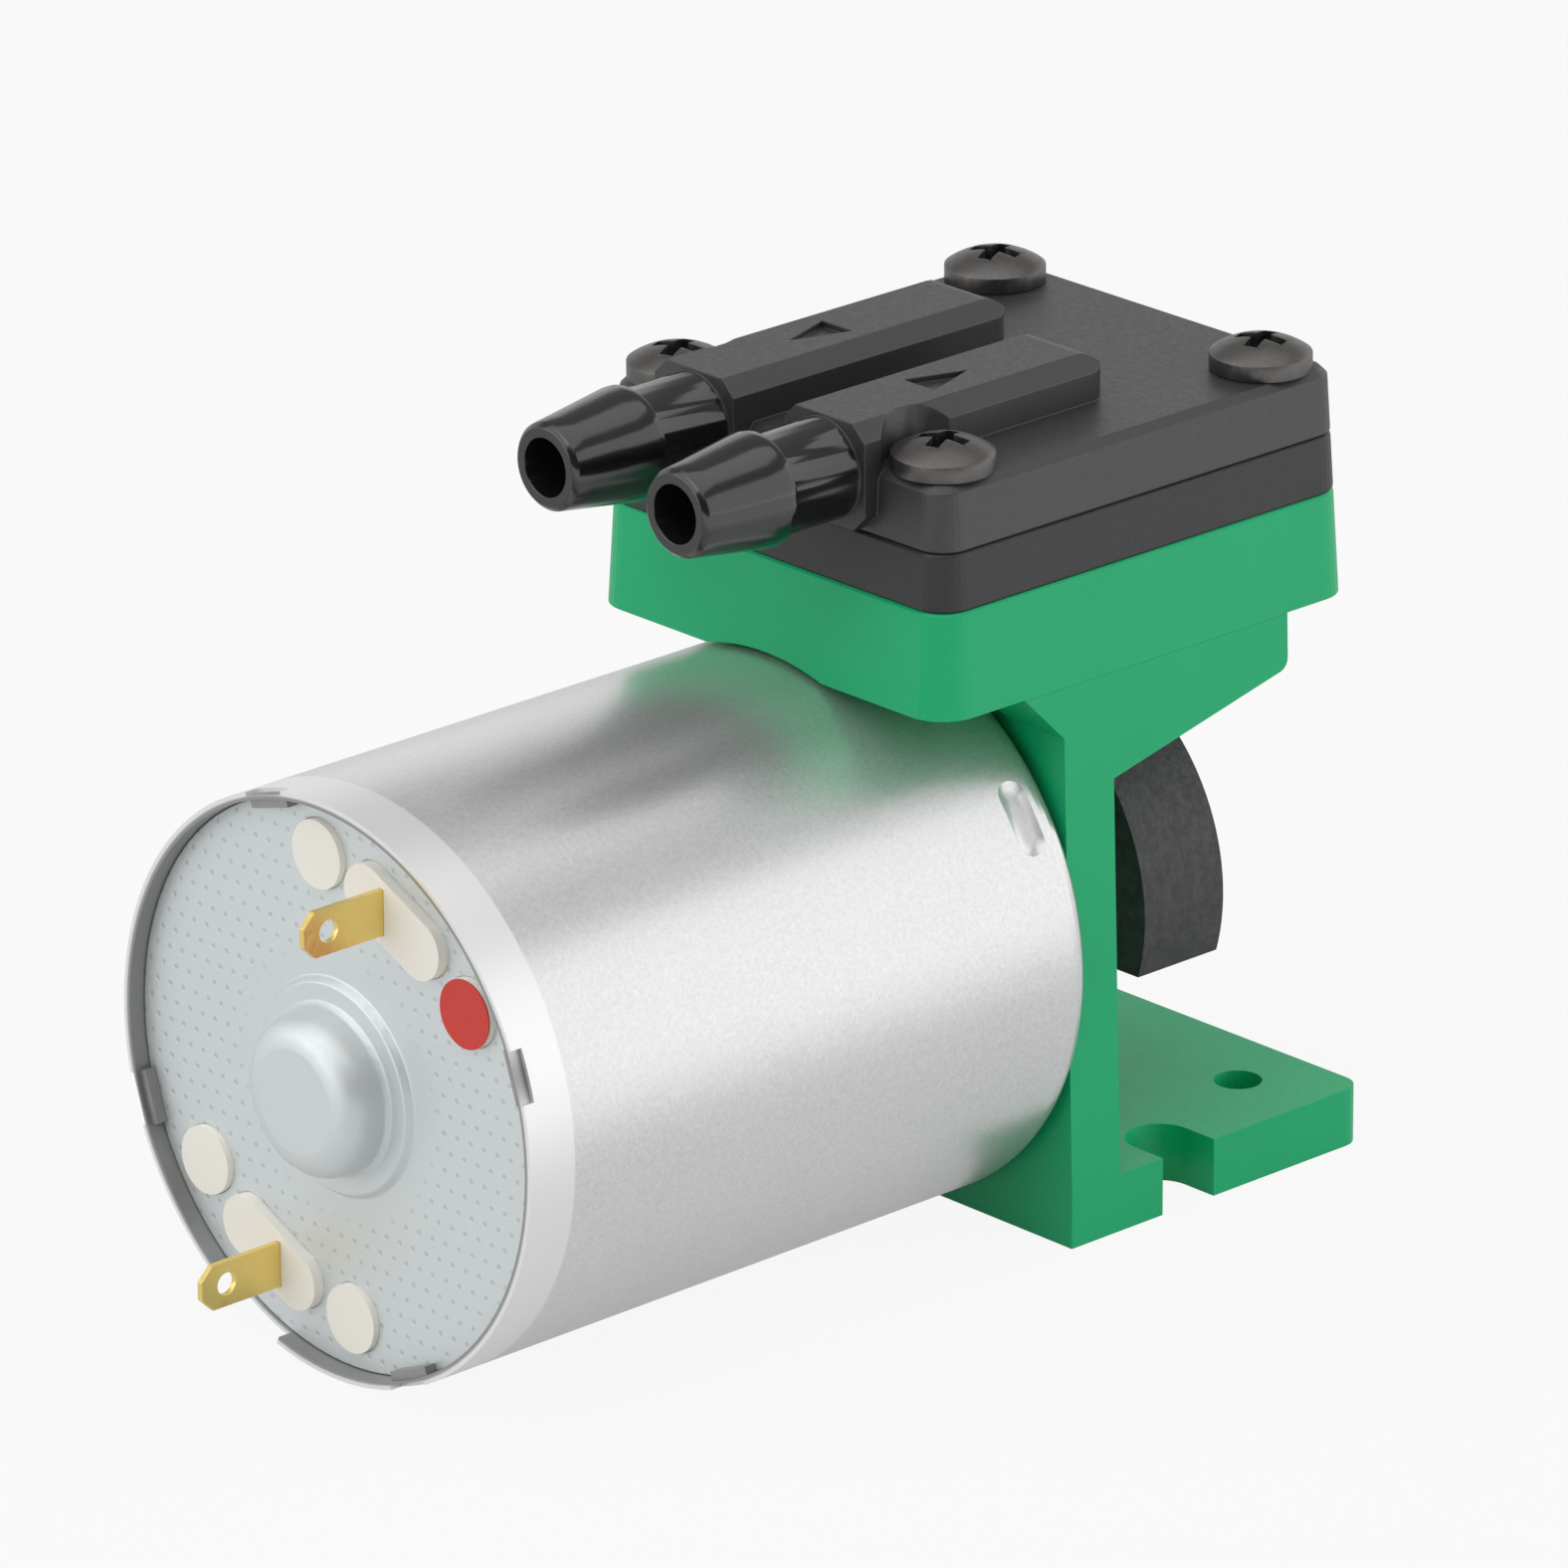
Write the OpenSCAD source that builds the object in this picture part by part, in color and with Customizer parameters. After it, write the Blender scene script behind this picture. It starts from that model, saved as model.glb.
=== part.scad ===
// Micro diaphragm vacuum pump: a brushed motor turns a crank that works a rubber diaphragm.
// Millimetres, +Z up. The origin is midway between the two foot holes, on the foot's underside.
// The motor axis runs along X, with the motor at -X and the crank at +X.

/* [Motor] */
// Outside diameter of the motor can
can_d = 35.8; // [35:0.1:36.2]
// Length of the can from its front face to its rear rim
can_len = 44.6; // [44:0.1:48]
// Wall of the drawn can
can_wall = 1.2; // [1:0.05:1.4]
// Thickness of the can's front wall
can_front_t = 1.6; // [1.2:0.1:2]
// Radius of the can's rounded front edge
can_edge_r = 1.6; // [0.8:0.1:2]
// Diameter of the locating boss on the can's front
boss_d = 13; // [12:0.1:13.4]
// Height of the locating boss
boss_h = 2.2; // [1.8:0.1:3]
// Depth of the front bearing below the boss's face
bush_set = 0.4; // [0.3:0.1:0.6]
// How far the can's rim stands proud of the end plate
rim_proud = 1.1; // [0.6:0.1:1.6]
// Width of the gap in the rim beside the lower terminal
rim_gap_w = 6.4; // [5:0.1:7]
// Angle of the first of the four crimps that hold the end plate
crimp_angle = 74; // [72:0.5:75]
// Wall of the can's thinned rim, outside the end plate
rim_t = 0.5; // [0.45:0.05:0.7]
// Width of each crimp
crimp_w = 3.2; // [2.4:0.1:3.6]
// How deep each crimp is pressed into the rim
crimp_depth = 0.35; // [0.2:0.05:0.4]
// How far each crimp reaches in over the end plate
crimp_reach = 0.6; // [0.4:0.05:0.7]
// Angle of the punched mark near the can's front edge
punch_angle = 146; // [140:1:150]
// Distance of the punched mark from the can's front face
punch_x = 3; // [2.6:0.1:3.6]
// Depth of the punched mark
punch_depth = 0.28; // [0.2:0.02:0.4]
// Radius of the round tool that made the mark
punch_r = 2; // [1.6:0.1:2.4]
// Angle between the two ends of the mark
punch_span = 9; // [8:0.5:12]
// Thickness of the end plate
end_t = 1.2; // [1:0.1:1.5]
// Diameter of the bearing housing on the end plate
dome_d = 10; // [9.6:0.1:10.6]
// Height of the bearing housing above the end plate
dome_h = 3.4; // [3:0.1:4]
// Radius of the bearing housing's round edge
dome_edge_r = 1.8; // [1:0.1:2.2]
// Wall over the rear bearing
dome_wall = 0.6; // [0.5:0.05:0.7]
// Diameter of the low step round the bearing housing
dome_step_d = 12.8; // [12:0.1:13.6]
// Height of the low step round the bearing housing
dome_step_h = 0.5; // [0.3:0.1:0.8]
// Diameter of the two motor bearings
bush_d = 8; // [7.6:0.1:8.2]
// Length of the two motor bearings
bush_len = 3.2; // [2.8:0.1:3.4]
// Diameter of the motor shaft
shaft_d = 3.17; // [3:0.01:3.3]
// Angle of each terminal from the +Y direction
terminal_angle = 115.5; // [112:0.5:119]
// Distance of the terminals inside the can's bore
terminal_inset = 3.4; // [3.1:0.1:3.7]
// Length of the oblong insulator round each terminal
insulator_len = 8.6; // [8:0.1:9]
// Width of the oblong insulator round each terminal
insulator_w = 3.7; // [3.4:0.1:4]
// How far the insulators stand out of the end plate
insulator_h = 0.7; // [0.4:0.1:0.9]
// Diameter of the brush holder's stake heads
stud_d = 4.2; // [3.6:0.1:4.4]
// Distance of the stake heads inside the can's bore
stud_inset = 2.5; // [2.3:0.1:2.7]
// Sideways distance of a stake head from the middle of the insulator beside it
stud_reach = 7.1; // [6.9:0.05:7.4]
// How far the stake heads stand out of the end plate
stud_h = 0.4; // [0.2:0.1:0.7]
// Thickness of the paint that marks the positive side
paint_t = 0.1; // [0.05:0.05:0.2]
// Width of the solder tabs
tab_w = 2.8; // [2.4:0.1:3]
// Thickness of the solder tabs
tab_t = 0.4; // [0.3:0.05:0.5]
// How far the solder tabs stand out of their insulators
tab_out = 6; // [5:0.1:8]
// How far each solder tab sits from the middle of its insulator
tab_shift = 0.95; // [0:0.05:1.2]
// Diameter of the wire hole in each tab
tab_hole_d = 1.4; // [1:0.1:1.6]
// Thickness of the brush holder
holder_t = 1.6; // [1.2:0.1:1.8]

/* [Rotor] */
// Air gap between the armature and the magnets
air_gap = 0.6; // [0.4:0.05:1]
// Length of the armature's iron core
armature_len = 20; // [18:0.5:20]
// Distance of the core behind the can's front face
core_back = 9.6; // [9.2:0.1:10]
// Width of the mouth of each slot
slot_mouth = 1.6; // [1.2:0.1:2]
// Number of slots in the armature
slot_count = 5; // [3:2:5]
// Diameter of the round bottom of each slot
slot_d = 5.2; // [4.6:0.1:5.4]
// Length of the winding past each end of the core
winding_end = 3.6; // [3:0.1:3.8]
// Outside diameter of the thrust washers
thrust_d = 6; // [5.4:0.1:7]
// Thickness of the thrust washers
thrust_t = 0.4; // [0.3:0.05:0.5]
// Length of each carbon brush
brush_len = 4.2; // [3.8:0.1:4.6]
// Width of each carbon brush
brush_w = 3; // [2.4:0.1:3.2]
// Diameter of the commutator
commutator_d = 9.4; // [9:0.1:9.8]
// Length of the commutator
commutator_len = 7; // [6.5:0.1:7]
// Radial thickness of each magnet
magnet_t = 4.3; // [4:0.1:4.4]
// Length of each magnet
magnet_len = 30; // [26:0.5:31]
// Arc that each magnet covers
magnet_arc = 124; // [110:1:130]
// Thickness of the spring clips between the magnets
clip_t = 0.8; // [0.6:0.1:1]
// Angle left free beside each spring clip
clip_gap_angle = 2; // [1:0.5:4]

/* [Crank] */
// Throw of the crank, half of the diaphragm's stroke
throw = 1; // [0.6:0.05:1.05]
// Diameter of the crank journal
journal_d = 7; // [6.8:0.1:7.6]
// Outside diameter of the rod's ball bearing
bearing_d = 13; // [12.8:0.1:13.4]
// Width of the rod's ball bearing
bearing_w = 4; // [3.4:0.1:4]
// Radius of the counterweight's round part
weight_r = 12.8; // [12:0.1:13.2]
// Distance of the round part's centre below the motor axis
weight_low = 0.5; // [0:0.1:0.8]
// Thickness of the counterweight along the shaft
weight_t = 6.6; // [5.6:0.1:7]
// Depth of the counterweight's flat below the motor axis
weight_drop = 4.2; // [3.8:0.1:4.6]
// Wall of the connecting rod's ring
rod_wall = 1.7; // [1.3:0.1:1.8]
// Width of the connecting rod's neck
neck_w = 5; // [4:0.1:6]
// Diameter of the pad that backs the diaphragm, and of the washer on it
pad_d = 12; // [10:0.1:13]
// Thickness of the pad on top of the connecting rod
pad_t = 1.6; // [1.2:0.1:2]
// Diameter of the screw that clamps the diaphragm
clamp_d = 2.5; // [2:0.1:2.6]
// Length of the screw that clamps the diaphragm
clamp_len = 9; // [8:0.1:9.4]
// Thickness of the washer on the diaphragm
washer_t = 1; // [0.8:0.05:1.05]
// Diameter of the set screw that holds the counterweight on the shaft
grub_d = 3; // [2.6:0.1:3.4]
// Length of the set screw
grub_len = 5; // [4:0.1:6]

/* [Bracket] */
// Height of the motor axis above the foot's underside
axis_h = 18; // [17.9:0.1:19]
// Thickness of the upright plate
plate_t = 4; // [3.6:0.1:4.2]
// Thickness of the foot
foot_t = 3.7; // [3.2:0.1:4]
// Length of the foot from the plate's motor face
foot_len = 24.7; // [24:0.1:28]
// Width of the bracket at the foot
foot_w = 32.2; // [31.4:0.1:34]
// Width of the upright plate at its top
plate_top_w = 30.4; // [30:0.1:30.8]
// Diameter of the foot holes
foot_hole_d = 3; // [2.6:0.1:3.4]
// Distance from the plate's motor face to the foot holes
foot_hole_x = 19.6; // [19:0.1:20.5]
// Distance between the foot holes
foot_hole_pitch = 20.8; // [20:0.1:23]
// Width of the mouth of the foot's side notches
notch_w = 4.3; // [4:0.1:4.8]
// Distance from the plate's motor face to the middle of the notches
notch_x = 9.75; // [9.4:0.1:10.4]
// Depth of the notches from the foot's edge
notch_depth = 4.6; // [4:0.1:4.8]
// Height of the gussets' straight end below the slab
gusset_end_h = 3.6; // [3:0.1:4]
// Height of the gussets where they meet the plate
gusset_root_h = 6.7; // [5.6:0.1:7.4]
// Length of the gussets from the plate's motor face
gusset_len = 18.6; // [18:0.1:20]
// Thickness of the gussets
gusset_t = 2.5; // [2.2:0.1:2.8]
// Leg of the corner fillet between the slab and the plate on the motor side
corner_leg = 3.2; // [2.4:0.1:3.6]
// Gap between the motor can and the slab above it
can_gap = 0.3; // [0.2:0.05:0.4]
// Spacing of the two motor screws
motor_screw_pitch = 25; // [24.6:0.1:25.4]
// Diameter of the motor screws
motor_screw_d = 3; // [2.8:0.1:3]
// Diameter of the motor screws' heads
motor_head_d = 5.4; // [5:0.1:5.6]
// Height of the motor screws' heads
motor_head_h = 1.8; // [1.6:0.1:2]
// Angle of the motor screws from the +Y direction
motor_screw_angle = 25.5; // [20:0.5:30]

/* [Head] */
// Height of the slab's underside above the motor axis
slab_z = 17.5; // [17.3:0.1:17.7]
// Thickness of the slab
slab_t = 6.5; // [6.3:0.1:7]
// Thickness of the valve plate
valve_plate_t = 3.6; // [3.5:0.1:4]
// Thickness of the cover
cover_t = 4.1; // [4:0.1:4.6]
// How far the head reaches past the plate on the motor side
head_back = 9.9; // [9.6:0.1:10.2]
// How far the head reaches past the plate on the crank side
head_front = 24.4; // [24.2:0.1:25]
// Width of the head at the slab's underside
head_w = 30.4; // [30:0.1:30.8]
// Radius of the head's upright corners
head_corner_r = 2.5; // [2.2:0.1:3]
// Draft of the head's sides, as sideways taper for each unit of height
draft = 0.06; // [0.03:0.005:0.07]
// Chamfer round the top of the cover
cover_chamfer = 0.5; // [0.3:0.05:0.8]
// Chamfer on both sides of the two seams round the head
seam_chamfer = 0.15; // [0.1:0.05:0.25]
// Distance from the plate's motor face to the diaphragm's centre
pump_x = 6.9; // [6.8:0.05:7.2]
// Distance between the head screws along the motor
screw_pitch_x = 26.1; // [26:0.1:26.5]
// Distance between the head screws across the motor
screw_pitch_y = 22.8; // [22.6:0.1:23.2]
// Thread diameter of the head screws
screw_d = 3; // [2.6:0.1:3]
// Diameter of the head screws' heads
screw_head_d = 6.2; // [5.6:0.1:6.4]
// Height of the head screws' heads
screw_head_h = 2; // [1.7:0.1:2.2]
// Share of a screw head's height that is domed
screw_dome = 0.5; // [0.4:0.05:0.7]
// Depth of the head screws in the slab
screw_bite = 4.4; // [4:0.1:5]
// Diameter of the diaphragm
diaphragm_d = 24.6; // [24.2:0.1:24.8]
// Width of the bead round the diaphragm
bead_w = 2; // [1.8:0.1:2.1]
// Thickness of the bead round the diaphragm
bead_t = 2.2; // [2.1:0.1:2.5]
// Thickness of the diaphragm's web
web_t = 0.9; // [0.7:0.05:0.9]
// Diameter of the pumping chamber and of the well under it
chamber_d = 20.2; // [20:0.1:20.3]
// Depth of the pumping chamber in the valve plate
chamber_h = 1.5; // [1.45:0.05:1.6]
// Distance between the two channels
port_pitch = 11.2; // [11:0.1:11.4]
// Diameter of the rubber flaps
flap_d = 7.6; // [7.2:0.1:7.8]
// Thickness of the rubber flaps
flap_t = 0.5; // [0.4:0.05:0.6]
// Diameter of the hole under the inlet flap and of the upright holes above both flaps
port_d = 2.4; // [2.2:0.1:2.6]
// Diameter of the three small holes under the outlet flap
port_small_d = 1.2; // [1:0.05:1.3]
// Width of the rubber ring round each valve
seal_w = 0.9; // [0.7:0.05:0.95]
// Height of the rubber ring round each valve
seal_h = 0.7; // [0.5:0.05:0.8]

/* [Barbs] */
// Height of the barbs' axis above the seam of the cover
barb_z = 3.6; // [3.5:0.1:3.9]
// Distance from the plate's motor face to the barbs' tips
barb_reach = 22; // [21:0.1:24]
// Length of the barbs' tapered end
barb_taper_len = 6; // [5:0.1:7]
// Diameter of a barb's tip
barb_tip_d = 5.4; // [5:0.1:5.6]
// Largest diameter of a barb
barb_d = 7; // [6.6:0.1:7.2]
// Diameter of a barb's stem
barb_stem_d = 6.2; // [5.8:0.1:6.4]
// Diameter of the air bore
air_d = 3.6; // [3:0.1:3.8]
// Width of a channel rib
rib_w = 6.9; // [6.6:0.1:7]
// Height of a channel rib above and below the barb's axis
rib_h = 3.3; // [3.2:0.05:3.5]
// Chamfer along a channel rib
rib_chamfer = 1; // [0.8:0.05:1.2]
// Radius of the round top corner at the closed end of a rib
rib_end_r = 1.5; // [1:0.1:2]
// Radius of the two upright edges at the closed end of a rib
rib_edge_r = 1.2; // [0.8:0.1:1.6]
// Distance from the plate's motor face to the ribs' barb ends
rib_back = 10.2; // [10:0.1:10.8]
// Distance from the plate's motor face to the end of the inlet rib
inlet_rib_end = 9.6; // [9.4:0.1:11]
// Distance from the plate's motor face to the end of the outlet rib
outlet_rib_end = 12.5; // [11.5:0.1:13]
// Length of the flow arrow in each rib
arrow_len = 3.9; // [3:0.1:4.4]
// Width of the flow arrow in each rib
arrow_w = 2.6; // [2:0.1:3]
// Depth of the flow arrow in each rib
arrow_depth = 0.4; // [0.2:0.05:0.6]

/* [Fits] */
// Clearance of a piece that is seated in another
seat_gap = 0.02; // [0.01:0.01:0.04]
// Radial clearance of a running fit
run_gap = 0.03; // [0.01:0.01:0.06]
// Radial clearance of a screw in a plain hole
hole_gap = 0.15; // [0.1:0.05:0.25]
// Gap between a brush and the commutator
brush_gap = 0.1; // [0.08:0.01:0.2]
// Gap between the brush holder and the commutator
holder_gap = 0.4; // [0.3:0.05:0.5]
// End play of the shaft against each thrust washer
end_play = 0.1; // [0.05:0.01:0.15]
// Side gap between the rod's bearing and what turns beside it
side_gap = 0.3; // [0.2:0.05:0.4]

/* [Hidden] */
$fn = 72;
cut = 0.5;
can_r = can_d / 2;
notch_r = notch_w / 2;
bore_r = can_r - can_wall;
terminal_r = bore_r - terminal_inset;
stud_r = bore_r - stud_inset;
stud_step = asin(stud_reach / stud_r);
armature_d = 2 * (bore_r - magnet_t - air_gap);
end_x = -can_len + rim_proud;
holder_x = end_x + end_t + seat_gap;
holder_in = holder_x + holder_t;
rim_in = can_r - rim_t;
front_bush_x = boss_h - bush_set - seat_gap - bush_len;
rear_bush_x = end_x - dome_h + dome_wall + seat_gap;
weight_x = pump_x + bearing_w / 2 + side_gap;
journal_x = pump_x - bearing_w / 2 - side_gap;
shaft_set = 0.6;
shaft_end = weight_x + weight_t - shaft_set;
seam_z = slab_z + slab_t;
cover_z = seam_z + valve_plate_t;
top_z = cover_z + cover_t;
bead_z = seam_z - bead_t;
web_z = bead_z + (bead_t - web_t) / 2;
pad_z = web_z - throw;
ball_d = 1.9;
ball_count = 7;
ball_r = (journal_d + bearing_d) / 4;
race_gap = 1.2;
ring_r = bearing_d / 2 + rod_wall;
air_z = cover_z + barb_z;
barb_x = -barb_reach;
slot_r = armature_d / 2 - slot_d / 2 - 1.4;
core_x = -core_back - armature_len;
commutator_x = holder_in + holder_gap;
brush_x = commutator_x + commutator_len / 2;
arm_t = 0.4;
holder_bore = dome_step_d / 2 + 0.8;
arm_w = brush_w - 0.4;
foot_edge = foot_w / 2;
sink = 0.9;
seal_r = flap_d / 2 + 0.5;
pocket_r = flap_d / 2 - 0.7;
pocket_h = 0.8;

// Puts a shape that was drawn about the motor axis into its place above the foot
module on_axis() {
    translate([-foot_hole_x, 0, axis_h]) children();
}

// Turns a flat profile of radius and length into a round piece along X
module turned_x() {
    rotate([0, 90, 0]) rotate_extrude() children();
}

// Pushes a flat outline of Y and Z along X
module along_x(x, len) {
    translate([x, 0, 0]) rotate([90, 0, 90]) linear_extrude(len) children();
}

// Pushes a flat outline of X and Z across Y
module across_y(w) {
    rotate([90, 0, 0]) linear_extrude(w, center = true) children();
}

module rod_x(x, len, r) {
    translate([x, 0, 0]) rotate([0, 90, 0]) cylinder(h = len, r = r);
}

module tube_x(x, len, ro, ri) {
    difference() {
        rod_x(x, len, ro);
        rod_x(x - cut, len + 2 * cut, ri);
    }
}

// Places children on the motor's end at an angle from +Y
module at_angle(a, r) {
    rotate([a, 0, 0]) translate([0, r, 0]) children();
}

module at_pump() {
    translate([pump_x, 0, 0]) children();
}

module at_screws() {
    for (sx = [-1, 1], sy = [-1, 1])
        translate([pump_x + sx * screw_pitch_x / 2, sy * screw_pitch_y / 2, 0]) children();
}

module at_motor_screws() {
    for (turn = [0, 180]) at_angle(motor_screw_angle + turn, motor_screw_pitch / 2) children();
}

module at_terminals() {
    for (turn = [0, 180]) rotate([turn, 0, 0]) at_angle(terminal_angle, terminal_r) children();
}

module at_studs() {
    for (turn = [0, 180], side = [-1, 1])
        rotate([turn, 0, 0]) at_angle(terminal_angle + side * stud_step, stud_r) children();
}

// One layer of the head, with drafted sides, round corners and its top and bottom edges chamfered
module head_layer(z, h, top, bottom) {
    skin = 0.01;
    r0 = head_corner_r - draft * (z + bottom - slab_z);
    r1 = head_corner_r - draft * (z + h - top - slab_z);
    x0 = -head_back + head_corner_r;
    x1 = head_front - head_corner_r;
    y1 = head_w / 2 - head_corner_r;
    hull() for (x = [x0, x1], y = [-y1, y1]) translate([x, y, z]) {
        cylinder(h = skin, r = r0 - bottom, $fn = 32);
        translate([0, 0, bottom]) cylinder(h = h - top - bottom, r1 = r0, r2 = r1, $fn = 32);
        translate([0, 0, h - skin]) cylinder(h = skin, r = r1 - top, $fn = 32);
    }
}

// Outline of the plate and gussets seen along the motor, wider at the foot
module bracket_front() {
    polygon([[-foot_edge, -axis_h], [foot_edge, -axis_h], [foot_edge, foot_t - axis_h],
        [plate_top_w / 2, slab_z], [-plate_top_w / 2, slab_z], [-foot_edge, foot_t - axis_h]]);
}

// Outline of the plate and gussets seen from the side
module bracket_side() {
    r = 0.8;
    low = slab_z - gusset_end_h;
    polygon(concat(
        [[0, -axis_h], [plate_t, -axis_h], [plate_t, slab_z - gusset_root_h]],
        [for (a = [-75 : 15 : 0]) [gusset_len - r + r * cos(a), low + r + r * sin(a)]],
        [[gusset_len, slab_z + cut], [-corner_leg - cut, slab_z + cut],
        [-corner_leg, slab_z], [0, slab_z - corner_leg]]));
}

// The foot seen from above, with its two side notches
module foot_plan() {
    r = 1.4;
    difference() {
        polygon(concat([[0, -foot_edge]],
            [for (a = [-90 : 15 : 0]) [foot_len - r + r * cos(a), r - foot_edge + r * sin(a)]],
            [for (a = [0 : 15 : 90]) [foot_len - r + r * cos(a), foot_edge - r + r * sin(a)]],
            [[0, foot_edge]]));
        for (s = [-1, 1]) {
            translate([notch_x, s * (foot_edge - notch_depth + notch_r)]) circle(r = notch_r);
            translate([notch_x - notch_w / 2, s > 0 ? foot_edge - notch_depth + notch_r : -foot_edge - cut])
                square([notch_w, notch_depth - notch_r + cut]);
        }
    }
}

module bracket() {
    inner_w = plate_top_w - 2 * gusset_t;
    pilot = screw_bite + 0.6;
    color("mediumseagreen") on_axis() difference() {
        union() {
            head_layer(slab_z, slab_t, seam_chamfer, 0);
            intersection() {
                along_x(-head_back, head_back + head_front) bracket_front();
                difference() {
                    across_y(foot_w + 2) bracket_side();
                    translate([plate_t, -inner_w / 2, -axis_h])
                        cube([gusset_len, inner_w, axis_h + slab_z]);
                }
            }
            translate([0, 0, -axis_h]) linear_extrude(foot_t) foot_plan();
        }
        rod_x(-head_back - cut, head_back + cut, can_r + can_gap);
        rod_x(-cut, plate_t + 2 * cut, boss_d / 2 + seat_gap);
        at_motor_screws() rod_x(-cut, plate_t + 2 * cut, motor_screw_d / 2 + hole_gap);
        for (s = [-1, 1]) translate([foot_hole_x, s * foot_hole_pitch / 2, -axis_h - cut])
            cylinder(h = foot_t + 2 * cut, d = foot_hole_d);
        at_pump() translate([0, 0, slab_z - cut]) cylinder(h = slab_t + 2 * cut, d = chamber_d);
        at_pump() translate([0, 0, bead_z]) cylinder(h = bead_t + cut, d = diaphragm_d + 2 * seat_gap);
        at_screws() translate([0, 0, seam_z - pilot])
            cylinder(h = pilot + cut, d = screw_d + 2 * seat_gap);
    }
}

module valve_plate() {
    color("#3a393d") on_axis() difference() {
        head_layer(seam_z, valve_plate_t, seam_chamfer, seam_chamfer);
        at_pump() {
            translate([0, 0, seam_z - cut]) cylinder(h = chamber_h + cut, d = chamber_d);
            for (s = [-1, 1]) translate([0, s * port_pitch / 2, cover_z - seal_h]) difference() {
                cylinder(h = seal_h + cut, r = seal_r + seal_w);
                translate([0, 0, -cut]) cylinder(h = seal_h + 3 * cut, r = seal_r);
            }
            for (s = [-1, 1]) translate([0, s * port_pitch / 2, cover_z - flap_t])
                cylinder(h = flap_t + cut, r = flap_d / 2 + seat_gap);
            // The inlet flap bends down into this pocket
            translate([0, -port_pitch / 2, cover_z - flap_t - pocket_h])
                cylinder(h = pocket_h + cut, r = pocket_r);
            translate([0, -port_pitch / 2, seam_z]) cylinder(h = valve_plate_t, d = port_d);
            // The outlet flap covers three small holes
            for (a = [0, 120, 240]) translate([0, port_pitch / 2, seam_z]) rotate([0, 0, a])
                translate([port_small_d, 0, 0]) cylinder(h = valve_plate_t, d = port_small_d);
        }
        at_screws() translate([0, 0, seam_z - cut])
            cylinder(h = valve_plate_t + 2 * cut, r = screw_d / 2 + hole_gap);
    }
}

// A rubber disc with a curved slit that leaves a tongue to bend
module flap(side) {
    translate([pump_x, side * port_pitch / 2, cover_z - flap_t]) difference() {
        cylinder(h = flap_t - seat_gap, d = flap_d);
        difference() {
            translate([0, 0, -cut]) cylinder(h = 2, r = pocket_r);
            translate([0, 0, -cut]) cylinder(h = 2, r = pocket_r - 0.5);
            translate([-1.3, -5, -cut]) cube([2.6, 5, 2]);
        }
    }
}

module inlet_flap() {
    color("#7c7873") on_axis() flap(-1);
}

module outlet_flap() {
    color("#7c7873") on_axis() flap(1);
}

module port_seals() {
    color("#4a3f3a") on_axis() for (s = [-1, 1])
        translate([pump_x, s * port_pitch / 2, cover_z - seal_h + seat_gap]) difference() {
            cylinder(h = seal_h - 2 * seat_gap, r = seal_r + seal_w - seat_gap);
            translate([0, 0, -cut]) cylinder(h = seal_h + 2 * cut, r = seal_r + seat_gap);
        }
}

// Flat outline of a rib seen along its channel
module rib_front() {
    w = rib_w / 2;
    c = rib_chamfer;
    polygon([[-w, -rib_h + c], [-w + c, -rib_h], [w - c, -rib_h], [w, -rib_h + c],
        [w, rib_h - c], [w - c, rib_h], [-w + c, rib_h], [-w, rib_h - c]]);
}

// Half profile of a hose barb, from its tip at zero
module barb_profile() {
    land = 0.5;
    lead = 0.3;
    polygon([[0, 0], [barb_tip_d / 2 - lead, 0], [barb_tip_d / 2, lead],
        [barb_d / 2, barb_taper_len], [barb_d / 2, barb_taper_len + land],
        [barb_stem_d / 2, barb_taper_len + land + 0.15],
        [barb_stem_d / 2, barb_reach - rib_back + cut], [0, barb_reach - rib_back + cut]]);
}

// Side view of a rib, with the top corner of its closed end rounded
module rib_side(end_x) {
    r = rib_end_r;
    polygon(concat([[-rib_back - cut, -rib_h - cut], [end_x, -rib_h - cut]],
        [for (a = [0 : 15 : 90]) [end_x - r + r * cos(a), rib_h - r + r * sin(a)]],
        [[-rib_back - cut, rib_h + cut]]));
}

// Plan of a rib, with the upright edges of its closed end rounded
module rib_plan(end_x) {
    r = rib_edge_r;
    w = rib_w / 2;
    polygon(concat([[-rib_back - cut, w], [-rib_back - cut, -w]],
        [for (a = [-90 : 15 : 0]) [end_x - r + r * cos(a), r - w + r * sin(a)]],
        [for (a = [0 : 15 : 90]) [end_x - r + r * cos(a), w - r + r * sin(a)]]));
}

// A barb with the drafted rib that carries its air to the cover
module channel(side, end_x) {
    translate([0, side * port_pitch / 2, air_z]) {
        translate([barb_x, 0, 0]) turned_x() barb_profile();
        intersection() {
            along_x(-rib_back, rib_back + end_x) rib_front();
            across_y(rib_w + cut) rib_side(end_x);
            translate([0, 0, -rib_h]) linear_extrude(2 * rib_h) rib_plan(end_x);
        }
    }
}

module arrow(side) {
    // The outlet's arrow points to its barb and the inlet's away from it
    mid_x = -0.6;
    translate([mid_x, side * port_pitch / 2, air_z + rib_h - arrow_depth])
        scale([-side, 1, 1]) linear_extrude(arrow_depth + cut)
            polygon([[-arrow_len / 2, -arrow_w / 2], [arrow_len / 2, 0], [-arrow_len / 2, arrow_w / 2]]);
}

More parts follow.
